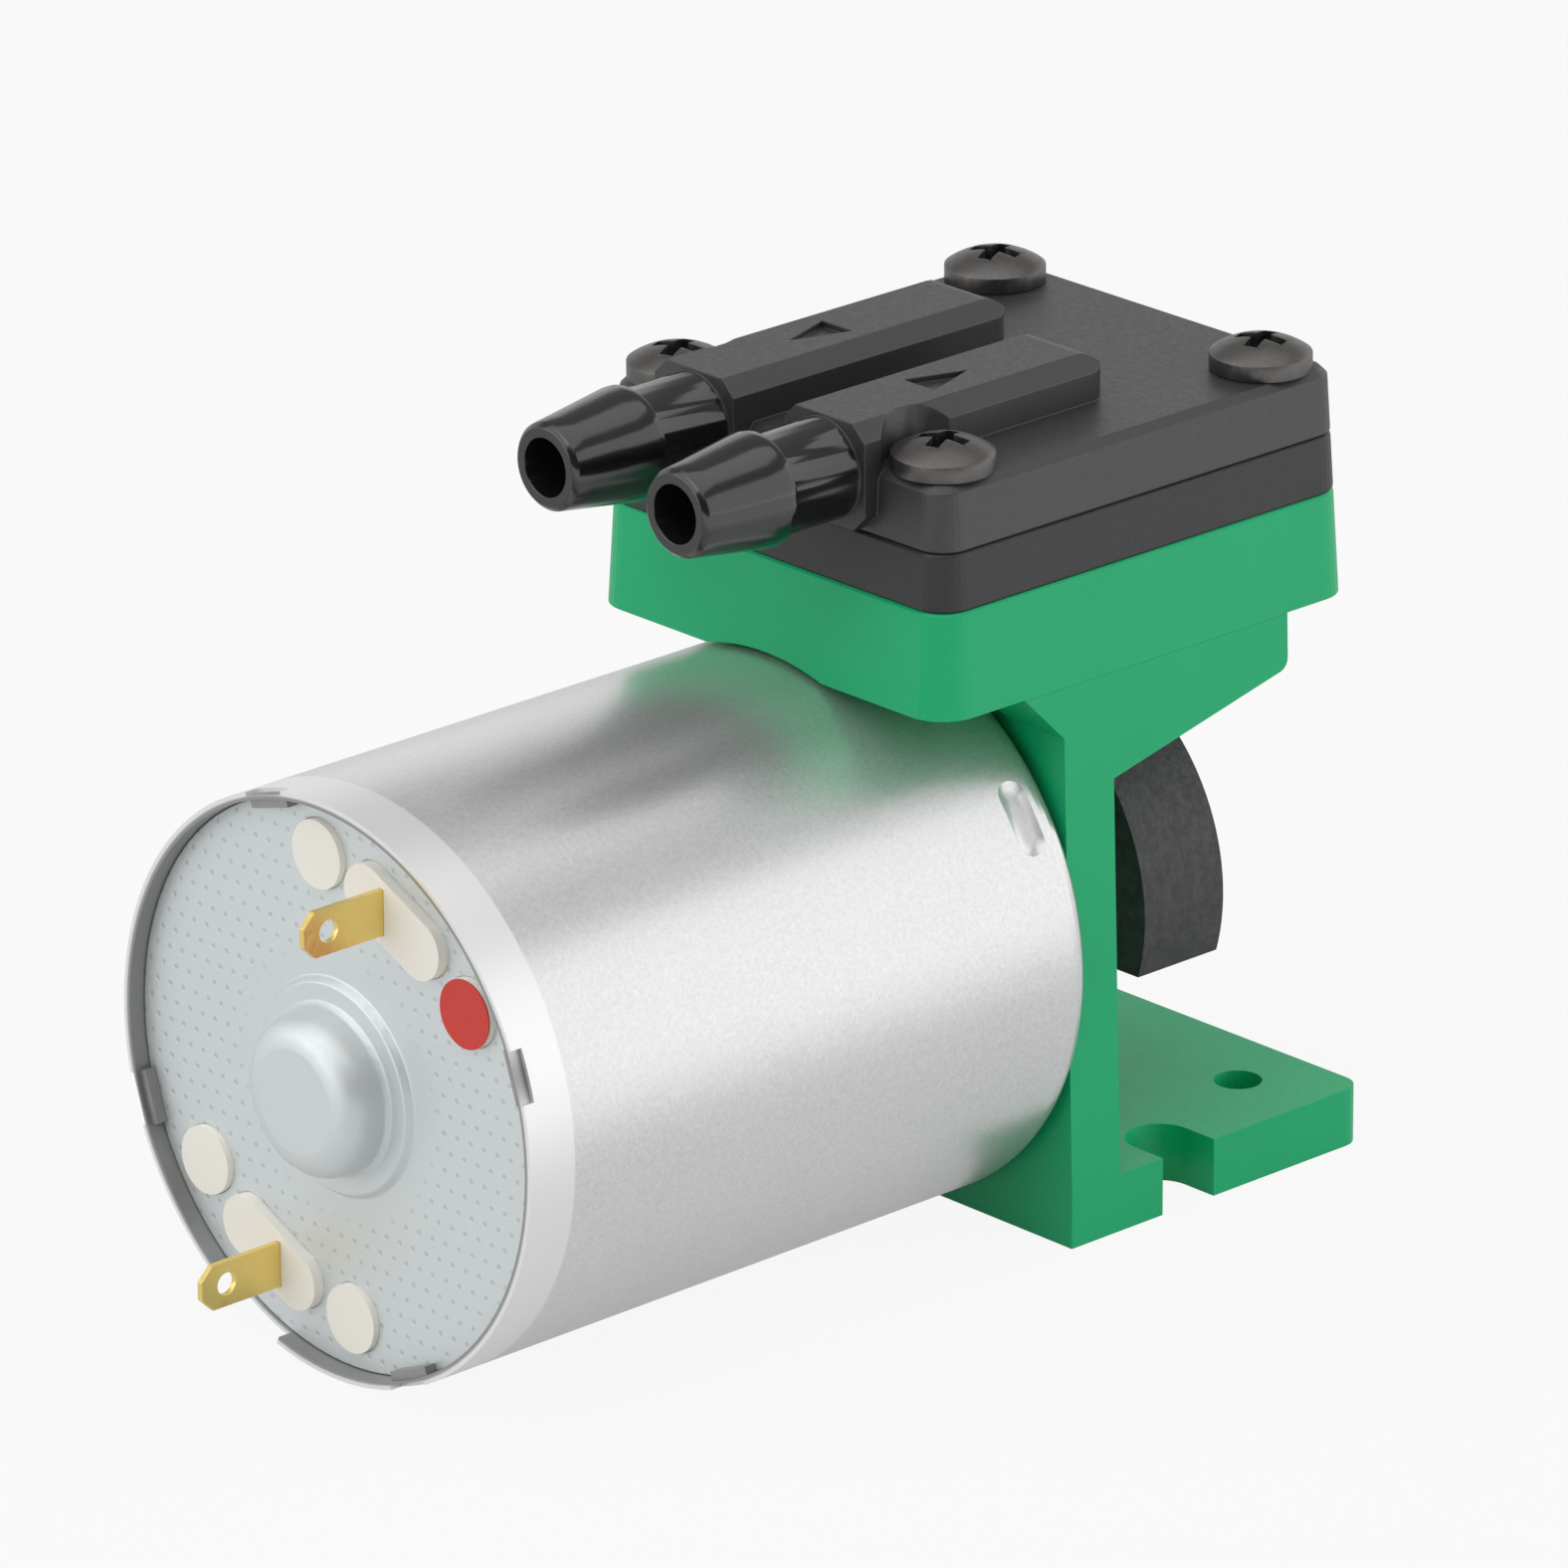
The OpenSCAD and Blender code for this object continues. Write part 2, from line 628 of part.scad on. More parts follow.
module head_cover() {
    end_pipe = pump_x + 0.6;
    color("#454448") on_axis() difference() {
        union() {
            head_layer(cover_z, cover_t, cover_chamfer, seam_chamfer);
            channel(-1, inlet_rib_end);
            channel(1, outlet_rib_end);
        }
        for (s = [-1, 1]) translate([0, s * port_pitch / 2, air_z])
            rod_x(barb_x - cut, barb_reach + cut + end_pipe, air_d / 2);
        at_pump() {
            // The channel meets its valve through an upright hole
            for (s = [-1, 1]) translate([0, s * port_pitch / 2, cover_z - cut])
                cylinder(h = barb_z + cut, d = port_d);
            // The outlet flap bends up into this pocket
            translate([0, port_pitch / 2, cover_z - cut]) cylinder(h = pocket_h + cut, r = pocket_r);
        }
        at_screws() {
            translate([0, 0, cover_z - cut])
                cylinder(h = cover_t + 2 * cut, r = screw_d / 2 + hole_gap);
            translate([0, 0, top_z]) cylinder(h = 6, d = screw_head_d + 1);
        }
        arrow(-1);
        arrow(1);
    }
}

// Pan head with a domed top, drawn from its underside up
module pan_head(d, h) {
    sag = h * screw_dome;
    r = d / 2;
    dome_r = (r * r + sag * sag) / (2 * sag);
    intersection() {
        cylinder(h = h, r = r);
        translate([0, 0, h - dome_r]) sphere(r = dome_r);
    }
}

module cross_recess(w, depth) {
    blade = 0.9;
    for (a = [0, 90]) rotate([0, 0, a]) translate([-w / 2, -blade / 2, -depth])
        cube([w, blade, depth + cut]);
}

module head_screws() {
    grip = valve_plate_t + cover_t;
    color("#55555a") on_axis() at_screws() {
        difference() {
            translate([0, 0, top_z + seat_gap]) pan_head(screw_head_d, screw_head_h);
            translate([0, 0, top_z + screw_head_h]) rotate([0, 0, 20])
                cross_recess(screw_head_d * 0.5, screw_head_h * 0.6);
        }
        translate([0, 0, top_z - grip - screw_bite])
            cylinder(h = grip + screw_bite + 0.2, d = screw_d);
    }
}

module diaphragm() {
    r = diaphragm_d / 2;
    r_in = r - bead_w;
    pad_r = pad_d / 2;
    color("#2b2b2d") on_axis() at_pump() rotate_extrude() polygon([
        [clamp_d / 2 + seat_gap, pad_z + seat_gap], [pad_r + 0.3, pad_z + seat_gap],
        [r_in - 0.5, web_z], [r_in, web_z], [r_in, bead_z + seat_gap], [r, bead_z + seat_gap],
        [r, seam_z - seat_gap], [r_in, seam_z - seat_gap], [r_in, web_z + web_t],
        [r_in - 0.5, web_z + web_t], [pad_r + 0.3, pad_z + web_t - seat_gap],
        [clamp_d / 2 + seat_gap, pad_z + web_t - seat_gap]]);
}

// Half profile of the can: a cup with a round front edge and a hollow boss
module can_profile() {
    r = can_edge_r;
    pocket = bush_d / 2 + seat_gap;
    mouth = shaft_d / 2 + 0.8;
    floor_z = boss_h - bush_set;
    c = 0.4;
    polygon(concat(
        [[bore_r, end_x + end_t], [rim_in, end_x + end_t], [rim_in, -can_len], [can_r, -can_len]],
        [for (a = [0 : 15 : 90]) [can_r - r + r * cos(a), -r + r * sin(a)]],
        [[boss_d / 2, 0], [boss_d / 2, boss_h - c], [boss_d / 2 - c, boss_h],
        [mouth, boss_h], [mouth, floor_z], [pocket, floor_z], [pocket, -can_front_t],
        [bore_r - c, -can_front_t], [bore_r, -can_front_t - c]]));
}

// Long mark punched in the can near its front edge, with round ends
module punch_mark() {
    half = punch_span / 2;
    r = can_r + punch_r - punch_depth;
    translate([-punch_x, 0, 0]) {
        for (a = [-half, half]) at_angle(a, r) sphere(r = punch_r, $fn = 48);
        rotate([0, 90, 0]) rotate([0, 0, 90 - half]) rotate_extrude(angle = punch_span, $fn = 360)
            translate([r, 0]) circle(r = punch_r, $fn = 48);
    }
}

// Places children at each of the four crimps in the rim
module at_crimps() {
    for (turn = [0, 87, 173, 268]) at_angle(crimp_angle + turn, 0) children();
}

module motor_can() {
    lip = 0.3;
    lap = 0.05;
    color("#c9cbcc") on_axis() {
        difference() {
            turned_x() can_profile();
            // Threaded holes for the motor screws
            at_motor_screws()
                rod_x(-can_front_t - cut, can_front_t + 2 * cut, motor_screw_d / 2 + seat_gap);
            at_angle(terminal_angle + 180, can_r - 4) translate([-can_len - cut, 0, -rim_gap_w / 2])
                cube([rim_proud + cut, 6, rim_gap_w]);
            at_crimps() translate([-can_len - cut, can_r - crimp_depth, -crimp_w / 2])
                cube([rim_proud - lip + cut, 2, crimp_w]);
            for (turn = [0, 180]) at_angle(punch_angle + turn, 0) punch_mark();
        }
        // Metal of the crimps, pressed in over the end plate
        at_crimps() translate([-can_len + lip, rim_in - crimp_reach, -crimp_w / 2 - lap])
            cube([rim_proud - lip - seat_gap, crimp_reach + rim_t - crimp_depth - lap,
                crimp_w + 2 * lap]);
    }
}

// Half profile of the end plate with its bearing housing, from its outer face at zero
module end_profile() {
    r = dome_edge_r;
    pocket = bush_d / 2 + seat_gap;
    rim = rim_in - seat_gap;
    c = 0.3;
    polygon(concat(
        [[rim, end_t - seat_gap], [rim, 0], [dome_step_d / 2 + c, 0],
        [dome_step_d / 2, -dome_step_h], [dome_d / 2 + c, -dome_step_h],
        [dome_d / 2, -dome_step_h - c]],
        [for (a = [0 : 15 : 90]) [dome_d / 2 - r + r * cos(a), r - dome_h - r * sin(a)]],
        [[0, -dome_h], [0, -dome_h + dome_wall], [pocket, -dome_h + dome_wall],
        [pocket, end_t - seat_gap]]));
}

module insulator_plan(w, len) {
    for (s = [-1, 1]) translate([0, s * (len - w) / 2]) circle(d = w);
    square([w, len - w], center = true);
}

module end_plate() {
    color("#c0c8ca") on_axis() difference() {
        translate([end_x, 0, 0]) turned_x() end_profile();
        at_terminals() along_x(end_x - cut, end_t + 2 * cut)
            insulator_plan(insulator_w + 2 * seat_gap, insulator_len + 2 * seat_gap);
        at_studs() rod_x(end_x - cut, end_t + 2 * cut, stud_d / 2 + seat_gap);
    }
}

// Upright place of the upper solder tab, a little to one side of its insulator's middle
module at_tab() {
    at_angle(terminal_angle, terminal_r) translate([0, 0, -tab_shift])
        rotate([-terminal_angle, 0, 0]) children();
}

module brush_holder() {
    color("#ece5d2") on_axis() difference() {
        union() {
            tube_x(holder_x, holder_t, bore_r - 0.8, holder_bore);
            at_terminals() along_x(end_x - insulator_h, end_t + insulator_h + cut)
                insulator_plan(insulator_w, insulator_len);
            at_studs() rod_x(end_x - stud_h, end_t + stud_h + cut, stud_d / 2);
        }
        for (turn = [0, 180]) rotate([turn, 0, 0]) at_tab()
            translate([end_x - insulator_h - cut, -tab_t / 2 - seat_gap, -tab_w / 2 - seat_gap])
                cube([holder_in - end_x + insulator_h + 2 * cut, tab_t + 2 * seat_gap,
                    tab_w + 2 * seat_gap]);
    }
}

module polarity_mark() {
    color("firebrick") on_axis() at_angle(terminal_angle + stud_step, stud_r)
        rod_x(end_x - stud_h - paint_t - 0.005, paint_t, stud_d / 2);
}

// Solder tab with a wire hole and a chamfered tip, upright on both terminals
module terminal_tabs() {
    tip = end_x - insulator_h - tab_out;
    c = tab_w * 0.3;
    inner = holder_in + 0.5;
    color("#d9b650") on_axis() for (turn = [0, 180]) rotate([turn, 0, 0])
        at_tab() rotate([90, 0, 0]) linear_extrude(tab_t, center = true) difference() {
                polygon([[tip, -tab_w / 2 + c], [tip + c, -tab_w / 2], [inner, -tab_w / 2],
                    [inner, tab_w / 2], [tip + c, tab_w / 2], [tip, tab_w / 2 - c]]);
                translate([tip + 1.9, 0]) circle(d = tab_hole_d);
            }
}

// Spring strip from each tab's inner end to the back of its brush
module brush_arms() {
    x0 = holder_in + 0.5 + seat_gap;
    x1 = brush_x + brush_w / 2 + seat_gap;
    back = commutator_d / 2 + brush_gap + brush_len - 1;
    color("#b98a55") on_axis() for (turn = [0, 180]) rotate([turn + terminal_angle, 0, 0]) {
        translate([x0, terminal_r - arm_t / 2, -arm_w / 2]) cube([x1 + arm_t - x0, arm_t, arm_w]);
        translate([x1, back, -arm_w / 2]) cube([arm_t, terminal_r - back, arm_w]);
    }
}

module brushes() {
    r = commutator_d / 2 + brush_gap;
    color("#3d3c3e") on_axis() for (turn = [0, 180]) rotate([turn + terminal_angle, 0, 0])
        translate([brush_x - brush_w / 2, r, -brush_w / 2]) cube([brush_w, brush_len, brush_w]);
}

module magnet_sector(ro, ri, arc) {
    reach = 2 * ro;
    difference() {
        circle(r = ro);
        circle(r = ri);
        polygon([[0, 0], [reach * cos(90 - arc / 2), reach * sin(90 - arc / 2)],
            [reach, -reach], [-reach, -reach],
            [reach * cos(90 + arc / 2), reach * sin(90 + arc / 2)]]);
    }
}

module magnets() {
    mid = core_x + armature_len / 2;
    color("#4b4a4c") on_axis() for (turn = [0, 180]) rotate([turn, 0, 0])
        along_x(mid - magnet_len / 2, magnet_len)
            magnet_sector(bore_r - seat_gap, bore_r - magnet_t, magnet_arc);
}

module magnet_clips() {
    mid = core_x + armature_len / 2;
    color("#a9a9a6") on_axis() for (turn = [90, 270]) rotate([turn, 0, 0])
        along_x(mid - magnet_len / 2, magnet_len)
            magnet_sector(bore_r - seat_gap, bore_r - clip_t, 180 - magnet_arc - 2 * clip_gap_angle);
}

module front_bush() {
    color("#b08a55") on_axis()
        tube_x(front_bush_x, bush_len, bush_d / 2, shaft_d / 2 + run_gap);
}

module rear_bush() {
    color("#b08a55") on_axis()
        tube_x(rear_bush_x, bush_len, bush_d / 2, shaft_d / 2 + run_gap);
}

module motor_screws() {
    recess = motor_head_d / 2;
    color("#8f9294") on_axis() at_motor_screws() {
        difference() {
            translate([plate_t + seat_gap, 0, 0]) rotate([0, 90, 0]) pan_head(motor_head_d, motor_head_h);
            translate([plate_t + motor_head_h, 0, 0]) rotate([0, 90, 0])
                cross_recess(recess, motor_head_h * 0.55);
        }
        rod_x(-can_front_t, can_front_t + plate_t + 0.2, motor_screw_d / 2);
    }
}

module motor_shaft() {
    c = 0.3;
    r = shaft_d / 2;
    x0 = rear_bush_x + 0.2;
    color("#b9bcbe") on_axis() turned_x()
        polygon([[0, x0], [r - c, x0], [r, x0 + c], [r, shaft_end - c], [r - c, shaft_end],
            [0, shaft_end]]);
}

module armature_core() {
    color("#7d7f82") on_axis() along_x(core_x, armature_len) difference() {
        circle(d = armature_d);
        circle(r = shaft_d / 2 + seat_gap);
        for (i = [0 : slot_count - 1]) rotate(i * 360 / slot_count) {
            translate([slot_r, 0]) circle(d = slot_d);
            translate([slot_r, -slot_mouth / 2]) square([armature_d, slot_mouth]);
        }
    }
}

module armature_winding() {
    wire_r = slot_d / 2 - 0.15;
    inner = slot_r - wire_r;
    ring = [[inner, 0], [slot_r + wire_r - 0.8, 0], [slot_r + wire_r, 0.8],
        [slot_r + wire_r, winding_end - 1.2], [slot_r + wire_r - 1.2, winding_end],
        [inner + 0.8, winding_end], [inner, winding_end - 0.8]];
    color("#a4552a") on_axis() {
        for (i = [0 : slot_count - 1]) rotate([i * 360 / slot_count, 0, 0]) translate([0, slot_r, 0])
            rod_x(core_x - 1, armature_len + 2, wire_r);
        translate([core_x + armature_len + seat_gap, 0, 0]) turned_x() polygon(ring);
        translate([core_x - seat_gap, 0, 0]) mirror([1, 0, 0]) turned_x() polygon(ring);
    }
}

module commutator() {
    color("#c07a45") on_axis() along_x(commutator_x, commutator_len) difference() {
        circle(d = commutator_d);
        circle(r = shaft_d / 2 + seat_gap);
        for (i = [0 : slot_count - 1]) rotate((i + 0.5) * 360 / slot_count)
            translate([commutator_d / 2 - 0.7, -0.2]) square([2, 0.4]);
    }
}

module thrust_washers() {
    front_x = front_bush_x - end_play - thrust_t;
    rear_x = rear_bush_x + bush_len + end_play;
    color("#e6e1d3") on_axis() for (x = [front_x, rear_x])
        tube_x(x, thrust_t, thrust_d / 2, shaft_d / 2 + seat_gap);
}

// Flat outline of the weight: a round part above the axis and a flat below
module weight_plan() {
    intersection() {
        translate([0, -weight_low]) circle(r = weight_r);
        translate([-2 * weight_r, -weight_drop]) square(4 * weight_r);
    }
}

module counterweight() {
    color("#3c3c3e") on_axis() difference() {
        union() {
            along_x(weight_x, weight_t) weight_plan();
            translate([0, 0, -throw]) {
                rod_x(journal_x, weight_x - journal_x + cut, journal_d / 2);
                rod_x(weight_x - side_gap, side_gap + cut, journal_d / 2 + 0.6);
            }
        }
        rod_x(0, 2 * weight_x, shaft_d / 2 + seat_gap);
        // Threaded hole for the set screw
        translate([weight_x + weight_t / 2, 0, 0]) cylinder(h = weight_r + cut, d = grub_d + 2 * seat_gap);
    }
}

module weight_screw() {
    color("#4a4a4d") on_axis() translate([weight_x + weight_t / 2, 0, shaft_d / 2 + seat_gap])
        difference() {
            cylinder(h = grub_len, d = grub_d);
            translate([0, 0, grub_len - 1.5]) cylinder(h = 1.5 + cut, d = grub_d * 0.57, $fn = 6);
        }
}

// Places children on the crank pin, which is below the motor axis at rest
module on_pin() {
    on_axis() translate([pump_x, 0, -throw]) children();
}

module groove() {
    turned_x() translate([ball_r, 0]) circle(r = ball_d / 2 + run_gap, $fn = 32);
}

module bearing_inner_ring() {
    color("#bfc1c2") on_pin() difference() {
        tube_x(-bearing_w / 2, bearing_w, ball_r - race_gap / 2, journal_d / 2 + seat_gap);
        groove();
    }
}

module bearing_outer_ring() {
    color("#b5b7b8") on_pin() difference() {
        tube_x(-bearing_w / 2, bearing_w, bearing_d / 2 - seat_gap, ball_r + race_gap / 2);
        groove();
    }
}

module at_balls() {
    for (i = [0 : ball_count - 1]) rotate([i * 360 / ball_count, 0, 0])
        translate([0, ball_r, 0]) children();
}

module bearing_balls() {
    color("#d6d8d9") on_pin() at_balls() sphere(d = ball_d, $fn = 24);
}

// Ring with a round hole for each ball
module bearing_cage() {
    wall = 0.7;
    color("#cfc6b4") on_pin() difference() {
        tube_x(-bearing_w / 2 + 0.5, bearing_w - 1, ball_r + wall / 2, ball_r - wall / 2);
        at_balls() rotate([90, 0, 0]) cylinder(h = 2, r = ball_d / 2 + run_gap, center = true);
    }
}

// Ring, waisted neck and pad in one moulding, drawn about the crank pin
module connecting_rod() {
    top = pad_z + throw;
    pad_low = top - pad_t;
    clamp_deep = clamp_len - web_t - washer_t + 0.5;
    flare_h = 4;
    flare_d = 8;
    color("#d7d5cf") on_pin() difference() {
        union() {
            rod_x(-bearing_w / 2, bearing_w, ring_r);
            translate([-bearing_w / 2, -neck_w / 2, 0]) cube([bearing_w, neck_w, pad_low + 0.2]);
            translate([0, 0, pad_low]) cylinder(h = pad_t, d = pad_d);
            translate([0, 0, pad_low - flare_h]) cylinder(h = flare_h + cut, d1 = bearing_w, d2 = flare_d);
        }
        rod_x(-bearing_w, 2 * bearing_w, bearing_d / 2);
        for (s = [-1, 1]) translate([s * (bearing_w / 2 + 0.1), 0, ring_r + 2.6])
            cube([2.2, neck_w - 2, 5], center = true);
        translate([0, 0, top - clamp_deep]) cylinder(h = clamp_deep + cut, r = clamp_d / 2 + seat_gap);
    }
}

module diaphragm_washer() {
    head_r = clamp_d / 2 + sink;
    color("#c4c6c8") on_axis() at_pump() translate([0, 0, pad_z + web_t]) difference() {
        cylinder(h = washer_t, d = pad_d);
        translate([0, 0, -cut]) cylinder(h = washer_t + 2 * cut, r = clamp_d / 2 + 2 * seat_gap);
        translate([0, 0, washer_t - sink]) cylinder(h = sink + 0.001, r1 = clamp_d / 2 + 2 * seat_gap,
            r2 = head_r + 2 * seat_gap);
    }
}

module diaphragm_screw() {
    top = pad_z + web_t + washer_t;
    color("#9a9c9e") on_axis() at_pump() difference() {
        union() {
            translate([0, 0, top - sink]) cylinder(h = sink, r1 = clamp_d / 2, r2 = clamp_d / 2 + sink);
            translate([0, 0, top - clamp_len]) cylinder(h = clamp_len - sink + 0.01, d = clamp_d);
        }
        translate([0, 0, top]) cross_recess(2.2, 0.7);
    }
}

bracket();
valve_plate();
head_cover();
head_screws();
port_seals();
inlet_flap();
outlet_flap();
diaphragm();
motor_can();
end_plate();
brush_holder();
polarity_mark();
terminal_tabs();
brush_arms();
brushes();
magnets();
magnet_clips();
front_bush();
rear_bush();
motor_screws();
motor_shaft();
armature_core();
armature_winding();
commutator();
thrust_washers();
counterweight();
weight_screw();
bearing_inner_ring();
bearing_balls();
bearing_cage();
bearing_outer_ring();
connecting_rod();
diaphragm_washer();
diaphragm_screw();
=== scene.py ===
# %% [markdown]
# # Micro vacuum pump: the looks
# This script dresses a finished CAD model of a small diaphragm vacuum pump for a studio picture.
# The CAD model gives every shape and place. Here each piece gets its surface: moulded plastic,
# zinc-plated steel, brass, rubber and carbon, all made with procedural nodes. Lengths are in
# metres, as in the CAD frame, and the origin is between the two foot holes under the foot.

# %% Load the CAD frame
import math
import bpy
from mathutils import Matrix, Vector


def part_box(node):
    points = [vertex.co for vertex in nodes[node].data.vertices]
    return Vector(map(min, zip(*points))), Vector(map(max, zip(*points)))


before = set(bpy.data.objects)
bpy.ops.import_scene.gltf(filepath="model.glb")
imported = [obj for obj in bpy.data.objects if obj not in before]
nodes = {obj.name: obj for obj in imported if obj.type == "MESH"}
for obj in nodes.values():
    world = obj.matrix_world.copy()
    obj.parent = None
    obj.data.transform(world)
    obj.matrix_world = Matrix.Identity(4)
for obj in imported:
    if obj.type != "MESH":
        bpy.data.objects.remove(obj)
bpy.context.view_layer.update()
MM = 0.001

# %% [markdown]
# ## Camera
# The camera was fitted to the photograph by matching about sixty points of the pump. It is a
# long lens from far away: 43 degrees to the left of the pump's front and 21 degrees above it.
# A matrix built from those two angles and a small roll sets it exactly, which a look-at
# constraint can't do, because the middle of the picture isn't the middle of the pump.

# %% Camera
CAMERA_AZIMUTH = math.radians(-42.8175)
CAMERA_ELEVATION = math.radians(20.8772)
CAMERA_ROLL = math.radians(-0.2782)
CAMERA_PLACE = Vector((-0.47854, -0.48634, 0.28032))
LENS_MM = 274.72
SENSOR_MM = 36.0


def add_camera():
    """Make the photograph's camera from its fitted place and angles."""
    a, e, r = CAMERA_AZIMUTH, CAMERA_ELEVATION, CAMERA_ROLL
    back = Vector((math.sin(a) * math.cos(e), -math.cos(a) * math.cos(e), math.sin(e)))
    level = Vector((math.cos(a), math.sin(a), 0))
    upright = back.cross(level)
    right = math.cos(r) * level + math.sin(r) * upright
    up = back.cross(right)
    data = bpy.data.cameras.new("photo_camera")
    data.lens = LENS_MM
    data.sensor_width = SENSOR_MM
    data.clip_start = 0.05
    data.clip_end = 20
    camera = bpy.data.objects.new("photo_camera", data)
    wire_height_and_shade = Matrix((right, up, back)).transposed().to_4x4()
    camera.matrix_world = Matrix.Translation(CAMERA_PLACE) @ wire_height_and_shade
    bpy.context.scene.collection.objects.link(camera)
    bpy.context.scene.camera = camera
    return camera


camera = add_camera()
print("camera at", tuple(round(v, 4) for v in camera.matrix_world.translation))

# %% [markdown]
# ## A small kit for surfaces
# Every surface below is built from the same few steps: read the place of the point in
# millimetres, draw noise or a pattern there, and use it to vary colour, shine and height.
# A short class keeps those steps readable. Working in millimetres means that a grain of
# 0.3 mm is written as such, and the same grain fits a large can and a small screw.

# %% Surface kit
WHITE = (1, 1, 1, 1)
NOISE_ROUGHNESS = 0.55
NOISE_LOW, NOISE_HIGH = 0.3, 0.7    # most of the noise lies between these


class Surface:
    """A node material that is built up step by step."""

    def __init__(self, name, colour, rough, metal=0.0, specular=0.5):
        self.material = bpy.data.materials.new(name)
        self.material.use_nodes = True
        self.tree = self.material.node_tree
        self.shader = self.tree.nodes["Principled BSDF"]
        self.shader.inputs["Base Color"].default_value = (*colour, 1)
        self.shader.inputs["Roughness"].default_value = rough
        self.shader.inputs["Metallic"].default_value = metal
        self.shader.inputs["Specular IOR Level"].default_value = specular
        place = self.add("ShaderNodeTexCoord")
        scale = self.add("ShaderNodeVectorMath", operation="SCALE")
        scale.inputs["Scale"].default_value = 1 / MM
        self.link(place.outputs["Object"], scale.inputs[0])
        self.place = scale.outputs[0]
        self.normal = None

    def add(self, kind, **settings):
        node = self.tree.nodes.new(kind)
        for key, value in settings.items():
            setattr(node, key, value)
        return node

    def link(self, a, b):
        self.tree.links.new(a, b)

    def put(self, socket, value):
        """Set a socket to a number or a colour, or link it to another socket."""
        if hasattr(value, "links"):
            self.link(value, socket)
        else:
            socket.default_value = value

    def axes(self):
        """The point's X, Y and Z in millimetres."""
        split = self.add("ShaderNodeSeparateXYZ")
        self.link(self.place, split.inputs[0])
        return split.outputs[0], split.outputs[1], split.outputs[2]

    def calc(self, kind, a, b=0.0):
        """One step of arithmetic."""
        node = self.add("ShaderNodeMath", operation=kind)
        self.put(node.inputs[0], a)
        self.put(node.inputs[1], b)
        return node.outputs[0]

    def length(self, a, b):
        """The length of a flat vector."""
        squares = self.calc("ADD", self.calc("MULTIPLY", a, a), self.calc("MULTIPLY", b, b))
        return self.calc("SQRT", squares)

    def noise(self, grain, detail, stretch=(1, 1, 1)):
        """Cloudy noise with grains of about that many millimetres."""
        mapping = self.add("ShaderNodeMapping")
        self.link(self.place, mapping.inputs["Vector"])
        mapping.inputs["Scale"].default_value = stretch
        node = self.add("ShaderNodeTexNoise")
        self.link(mapping.outputs[0], node.inputs["Vector"])
        node.inputs["Scale"].default_value = 1 / grain
        node.inputs["Detail"].default_value = detail
        node.inputs["Roughness"].default_value = NOISE_ROUGHNESS
        return node.outputs["Fac"]

    def fit(self, value, low, high, to_low=0.0, to_high=1.0, smooth=False):
        """Map one range of numbers to another, and hold it there."""
        node = self.add("ShaderNodeMapRange")
        if smooth:
            node.interpolation_type = "SMOOTHSTEP"
        for socket, number in zip(node.inputs, (value, low, high, to_low, to_high)):
            self.put(socket, number)
        return node.outputs[0]

    def spread(self, noise, low, high):
        """Turn noise into numbers from low to high."""
        return self.fit(noise, NOISE_LOW, NOISE_HIGH, low, high)

    def mix(self, amount, a, b):
        """Mix two numbers."""
        node = self.add("ShaderNodeMix", data_type="FLOAT")
        self.put(node.inputs["Factor"], amount)
        self.put(node.inputs[2], a)
        self.put(node.inputs[3], b)
        return node.outputs[0]

    def blend(self, amount, a, b):
        """Mix two colours."""
        node = self.add("ShaderNodeMix", data_type="RGBA")
        self.put(node.inputs["Factor"], amount)
        self.put(node.inputs[6], a if hasattr(a, "links") else (*a, 1))
        self.put(node.inputs[7], b if hasattr(b, "links") else (*b, 1))
        return node.outputs[2]

    def colour(self, value):
        self.put(self.shader.inputs["Base Color"], value)

    def rough(self, value):
        self.put(self.shader.inputs["Roughness"], value)

    def bump(self, height, depth):
        """Raise the surface by up to depth millimetres."""
        node = self.add("ShaderNodeBump")
        node.inputs["Distance"].default_value = depth * MM
        self.put(node.inputs["Height"], height)
        if self.normal is not None:
            self.link(self.normal, node.inputs["Normal"])
        self.normal = node.outputs[0]
        self.link(self.normal, self.shader.inputs["Normal"])


def shade(colour, factor):
    """A colour made lighter or darker."""
    return tuple(min(1.0, c * factor) for c in colour)


surfaces = {}


def wear(*names, surface):
    """Give CAD nodes a surface."""
    for name in names:
        o = nodes[name]
        o.data.materials.clear()
        o.data.materials.append(surface.material)
    surfaces[surface.material.name] = names


print("surface kit ready")

# %% [markdown]
# ## Moulded plastic
# The bracket is a satin green moulding. The head is black: its cover has a fine matt grain,
# and the barbs are polished, because a hose must seal on them. Moulded plastic is never quite
# even, so a slow noise varies its colour and shine a little, and a fine one gives it the
# orange-peel skin of the tool. One surface makes both the cover and its barbs, with the
# change of shine placed at the plane where the ribs end. The bracket also carries the faint
# line of its tool where slab and gussets meet, drawn in the height and not cut in the model.

# %% Plastics
BARB_LENGTH = 11.8
SLAB_THICKNESS = 6.5
LINE_HALF_WIDTH = 0.03
LINE_FADE = 0.10
LINE_HEIGHT = 0.03
SIDE_DRAFT = 0.9
RIB_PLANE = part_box("head_cover")[0][0] / MM + BARB_LENGTH
SLAB_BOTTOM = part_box("bracket")[1][2] / MM - SLAB_THICKNESS
BLACK = (0.0195, 0.0195, 0.0225)
POLISHED_BLACK = (0.007, 0.007, 0.008)


